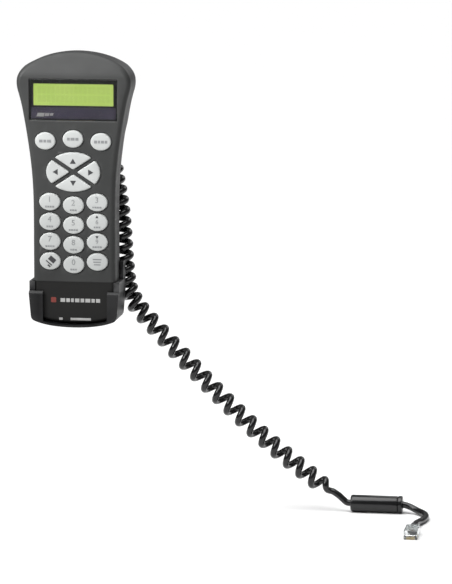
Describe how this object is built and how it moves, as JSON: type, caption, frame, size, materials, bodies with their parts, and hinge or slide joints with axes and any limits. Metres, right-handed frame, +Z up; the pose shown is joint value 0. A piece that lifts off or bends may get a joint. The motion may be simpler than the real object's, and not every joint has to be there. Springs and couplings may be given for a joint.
{
  "type": "telescope hand controller",
  "caption": "Waisted handheld keypad with a lit text display and an arrow pad, standing in a clip-in holder, with a curly cord, a ferrite choke and a modular plug.",
  "frame": {"origin": "centre of the holder's rear mounting face", "axes": "+Y out of the holder's rear face, away from the keys; +Z up along the handset; +X to the right of the key face"},
  "size_m": [0.2999, 0.103, 0.3346],
  "materials": {
    "case_plastic": "fine moulded grain, satin",
    "case_back": "fine moulded grain, matt",
    "holder_plastic": "moulded black, satin",
    "key_plastic": "smooth satin light grey",
    "screw_steel": "zinc plated",
    "insert_brass": "knurled brass",
    "label_film": "printed film, satin",
    "window_clear": "clear polished",
    "window_print": "black back print",
    "pressed_steel": "plain pressed sheet",
    "lcd_green": "lit yellow-green",
    "light_guide": "milky clear",
    "circuit_board": "green solder mask",
    "keypad_rubber": "silicone rubber",
    "chip_black": "moulded epoxy",
    "ribbon_film": "polyimide film",
    "socket_plastic": "moulded black",
    "plug_clear": "clear polycarbonate",
    "boot_rubber": "moulded soft black",
    "cord_jacket": "glossy black jacket",
    "ferrite_jacket": "glossy black moulding",
    "ferrite_grey": "sintered ferrite"
  },
  "bodies": {
    "holder": {"holder_cradle": "holder_plastic", "holder_insert_1": "insert_brass", "holder_insert_2": "insert_brass", "holder_screw_1": "screw_steel", "holder_screw_2": "screw_steel", "holder_spine": "holder_plastic"},
    "handset": {"base_boot": "boot_rubber", "base_plug": "plug_clear", "clock_crystal": "pressed_steel", "cord_coil": "cord_jacket", "cord_lead_lower": "cord_jacket", "cord_lead_upper": "cord_jacket", "cord_socket": "socket_plastic", "display_mask": "window_print", "display_window": "window_clear", "ferrite_cap": "ferrite_jacket", "ferrite_case": "ferrite_jacket", "ferrite_core": "ferrite_grey", "front_shell": "case_plastic", "handset_boot": "boot_rubber", "handset_plug": "plug_clear", "keypad_mat": "keypad_rubber", "lcd_backlight": "light_guide", "lcd_bezel": "pressed_steel", "lcd_board": "circuit_board", "lcd_glass": "lcd_green", "lcd_ribbon": "ribbon_film", "line_driver": "chip_black", "main_board": "circuit_board", "memory_chip": "chip_black", "processor": "chip_black", "rear_label": "label_film", "rear_screw_1": "screw_steel", "rear_screw_2": "screw_steel", "rear_screw_3": "screw_steel", "rear_screw_4": "screw_steel", "rear_screw_5": "screw_steel", "rear_shell": "case_back", "serial_socket": "socket_plastic"},
    "key_0_body": {"key_0": "key_plastic"},
    "key_1_body": {"key_1": "key_plastic"},
    "key_2_body": {"key_2": "key_plastic"},
    "key_3_body": {"key_3": "key_plastic"},
    "key_4_body": {"key_4": "key_plastic"},
    "key_5_body": {"key_5": "key_plastic"},
    "key_6_body": {"key_6": "key_plastic"},
    "key_7_body": {"key_7": "key_plastic"},
    "key_8_body": {"key_8": "key_plastic"},
    "key_9_body": {"key_9": "key_plastic"},
    "key_down_body": {"key_down": "key_plastic"},
    "key_info_body": {"key_info": "key_plastic"},
    "key_left_body": {"key_left": "key_plastic"},
    "key_menu_body": {"key_menu": "key_plastic"},
    "key_right_body": {"key_right": "key_plastic"},
    "key_top_left_body": {"key_top_left": "key_plastic"},
    "key_top_middle_body": {"key_top_middle": "key_plastic"},
    "key_top_right_body": {"key_top_right": "key_plastic"},
    "key_up_body": {"key_up": "key_plastic"}
  },
  "joints": [
    {"name": "handset_lift", "type": "slide", "parent": "holder", "child": "handset", "axis": [0, 0, 1], "range_m": [0, 0.055]},
    {"name": "key_0_press", "type": "slide", "parent": "handset", "child": "key_0_body", "axis": [0, 1, 0], "range_m": [0, 0.0015], "stiffness_N_per_m": 400},
    {"name": "key_1_press", "type": "slide", "parent": "handset", "child": "key_1_body", "axis": [0, 1, 0], "range_m": [0, 0.0015], "stiffness_N_per_m": 400},
    {"name": "key_2_press", "type": "slide", "parent": "handset", "child": "key_2_body", "axis": [0, 1, 0], "range_m": [0, 0.0015], "stiffness_N_per_m": 400},
    {"name": "key_3_press", "type": "slide", "parent": "handset", "child": "key_3_body", "axis": [0, 1, 0], "range_m": [0, 0.0015], "stiffness_N_per_m": 400},
    {"name": "key_4_press", "type": "slide", "parent": "handset", "child": "key_4_body", "axis": [0, 1, 0], "range_m": [0, 0.0015], "stiffness_N_per_m": 400},
    {"name": "key_5_press", "type": "slide", "parent": "handset", "child": "key_5_body", "axis": [0, 1, 0], "range_m": [0, 0.0015], "stiffness_N_per_m": 400},
    {"name": "key_6_press", "type": "slide", "parent": "handset", "child": "key_6_body", "axis": [0, 1, 0], "range_m": [0, 0.0015], "stiffness_N_per_m": 400},
    {"name": "key_7_press", "type": "slide", "parent": "handset", "child": "key_7_body", "axis": [0, 1, 0], "range_m": [0, 0.0015], "stiffness_N_per_m": 400},
    {"name": "key_8_press", "type": "slide", "parent": "handset", "child": "key_8_body", "axis": [0, 1, 0], "range_m": [0, 0.0015], "stiffness_N_per_m": 400},
    {"name": "key_9_press", "type": "slide", "parent": "handset", "child": "key_9_body", "axis": [0, 1, 0], "range_m": [0, 0.0015], "stiffness_N_per_m": 400},
    {"name": "key_down_press", "type": "slide", "parent": "handset", "child": "key_down_body", "axis": [0, 1, 0], "range_m": [0, 0.0015], "stiffness_N_per_m": 400},
    {"name": "key_info_press", "type": "slide", "parent": "handset", "child": "key_info_body", "axis": [0, 1, 0], "range_m": [0, 0.0015], "stiffness_N_per_m": 400},
    {"name": "key_left_press", "type": "slide", "parent": "handset", "child": "key_left_body", "axis": [0, 1, 0], "range_m": [0, 0.0015], "stiffness_N_per_m": 400},
    {"name": "key_menu_press", "type": "slide", "parent": "handset", "child": "key_menu_body", "axis": [0, 1, 0], "range_m": [0, 0.0015], "stiffness_N_per_m": 400},
    {"name": "key_right_press", "type": "slide", "parent": "handset", "child": "key_right_body", "axis": [0, 1, 0], "range_m": [0, 0.0015], "stiffness_N_per_m": 400},
    {"name": "key_top_left_press", "type": "slide", "parent": "handset", "child": "key_top_left_body", "axis": [0, 1, 0], "range_m": [0, 0.0015], "stiffness_N_per_m": 400},
    {"name": "key_top_middle_press", "type": "slide", "parent": "handset", "child": "key_top_middle_body", "axis": [0, 1, 0], "range_m": [0, 0.0015], "stiffness_N_per_m": 400},
    {"name": "key_top_right_press", "type": "slide", "parent": "handset", "child": "key_top_right_body", "axis": [0, 1, 0], "range_m": [0, 0.0015], "stiffness_N_per_m": 400},
    {"name": "key_up_press", "type": "slide", "parent": "handset", "child": "key_up_body", "axis": [0, 1, 0], "range_m": [0, 0.0015], "stiffness_N_per_m": 400}
  ]
}
